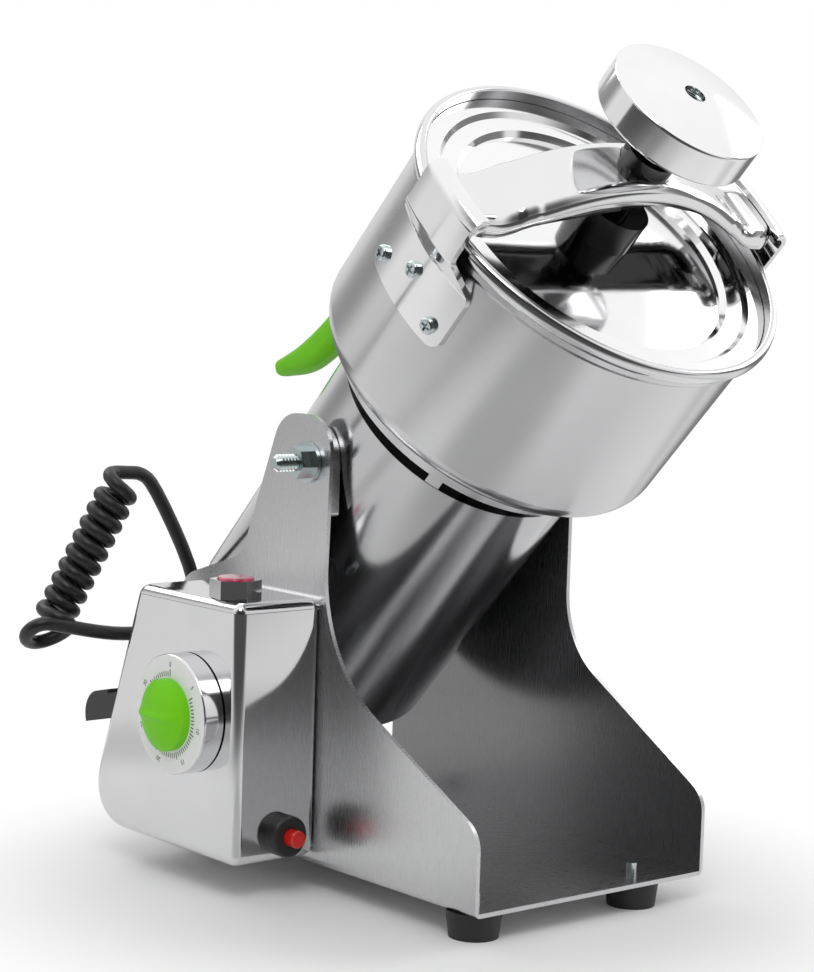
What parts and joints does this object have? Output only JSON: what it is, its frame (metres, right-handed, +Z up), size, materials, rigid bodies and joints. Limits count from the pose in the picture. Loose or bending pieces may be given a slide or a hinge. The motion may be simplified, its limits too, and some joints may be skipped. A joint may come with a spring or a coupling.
{
  "type": "electric spice grinder",
  "caption": "Swing-type electric spice grinder: a steel motor drum with a clamped bowl tilts in a U-shaped stand, with a timer box and a curly cord at its side.",
  "frame": {"origin": "bottom centre of the object's box without its cord, on the floor under the feet", "axes": "+Z up, -Y the way the bowl tips forward and pours, -X the side with the control box"},
  "size_m": [0.2448, 0.3313, 0.3846],
  "materials": {
    "stand_steel": "brushed sheet",
    "bowl_steel": "spun satin",
    "tube_steel": "satin",
    "polished_steel": "polished",
    "bright_fasteners": "bright",
    "blade_steel": "ground",
    "green_plastic": "moulded, slightly glossy",
    "dial_white": "white face with dark marks, bright side wall",
    "bezel_chrome": "bright",
    "lamp_red": "clear red lens",
    "button_red": "moulded",
    "black_plastic": "moulded",
    "cord_black": "smooth sheath",
    "foot_rubber": "matt",
    "gasket_rubber": "matt",
    "motor_iron": "laminated",
    "winding": "varnished copper",
    "motor_alloy": "cast",
    "shaft_steel": "ground",
    "carbon": "pressed carbon"
  },
  "bodies": {
    "stand": {"stand_bracket": "stand_steel", "pivot_pads": "stand_steel", "rubber_feet": "foot_rubber", "foot_screws": "bright_fasteners", "control_box": "polished_steel", "box_screws": "bright_fasteners", "timer_movement": "motor_alloy", "breaker_collar": "black_plastic", "breaker_body": "black_plastic", "lamp_bezel": "bezel_chrome", "lamp_lens": "lamp_red", "lamp_barrel": "black_plastic", "cord_gland_box": "black_plastic", "mains_gland": "black_plastic", "curly_cord": "cord_black", "cord_lead_box": "cord_black", "cord_lead_motor": "cord_black"},
    "head": {"motor_tube": "tube_steel", "tube_base_cap": "tube_steel", "bowl_ring": "bowl_steel", "bowl": "bowl_steel", "bowl_screws": "bright_fasteners", "lug_left": "polished_steel", "lug_right": "polished_steel", "lug_screws": "bright_fasteners", "handle": "green_plastic", "handle_screws": "bright_fasteners", "stator_core": "motor_iron", "field_coils": "winding", "upper_bracket": "motor_alloy", "lower_bracket": "motor_alloy", "bearings": "shaft_steel", "shaft_seal": "gasket_rubber", "cord_gland_motor": "black_plastic", "pivot_studs": "bright_fasteners", "pivot_washers": "bright_fasteners", "pivot_nuts": "bright_fasteners", "carbon_brushes": "carbon", "brush_holders": "black_plastic"},
    "rotor": {"rotor_shaft": "shaft_steel", "armature_core": "motor_iron", "commutator": "winding", "cooling_fan": "motor_alloy", "blade_lower": "blade_steel", "blade_middle": "blade_steel", "blade_upper": "blade_steel", "blade_spacers": "bright_fasteners", "blade_nut": "bright_fasteners"},
    "clamp": {"clamp_bar": "polished_steel", "bar_bush": "polished_steel"},
    "lid_set": {"lid": "polished_steel", "lid_gasket": "gasket_rubber", "lid_socket": "polished_steel"},
    "clamp_screw": {"clamp_spindle": "polished_steel", "clamp_knob": "polished_steel", "knob_screw": "bright_fasteners"},
    "timer_knob": {"timer_dial": "dial_white", "timer_grip": "green_plastic", "timer_shaft": "shaft_steel"},
    "reset": {"reset_button": "button_red"}
  },
  "joints": [
    {"name": "head_tilt", "type": "hinge", "parent": "stand", "child": "head", "pos_m": [0.0211, 0.03187, 0.197], "axis": [1, 0, 0], "range_deg": [-43.6, 61], "deforming": ["curly_cord", "cord_lead_motor", "cord_lead_box"]},
    {"name": "rotor_spin", "type": "hinge", "parent": "head", "child": "rotor", "pos_m": [0.0211, 0.02781, 0.19314], "axis": [0, -0.6896, 0.7242], "continuous": true},
    {"name": "lid_turn", "type": "hinge", "parent": "head", "child": "clamp", "pos_m": [0.0211, 0.02781, 0.19314], "axis": [0, -0.6896, 0.7242], "range_deg": [0, 90]},
    {"name": "clamp_feed", "type": "slide", "parent": "clamp", "child": "lid_set", "axis": [0, -0.6896, 0.7242], "range_m": [0, 0.0045]},
    {"name": "clamp_turn", "type": "hinge", "parent": "lid_set", "child": "clamp_screw", "pos_m": [0.0211, 0.02781, 0.19314], "axis": [0, -0.6896, 0.7242], "range_deg": [0, 540]},
    {"name": "timer_turn", "type": "hinge", "parent": "stand", "child": "timer_knob", "pos_m": [-0.0959, 0.05487, 0.082], "axis": [-1, 0, 0], "range_deg": [-300, 0]},
    {"name": "reset_press", "type": "slide", "parent": "stand", "child": "reset", "axis": [0, 1, 0], "range_m": [0, 0.003], "stiffness_N_per_m": 400, "springref_m": -0.002}
  ],
  "couplings": [
    {"joint": "clamp_feed", "follows": "clamp_turn", "m_per_rad": 0.00047746}
  ]
}
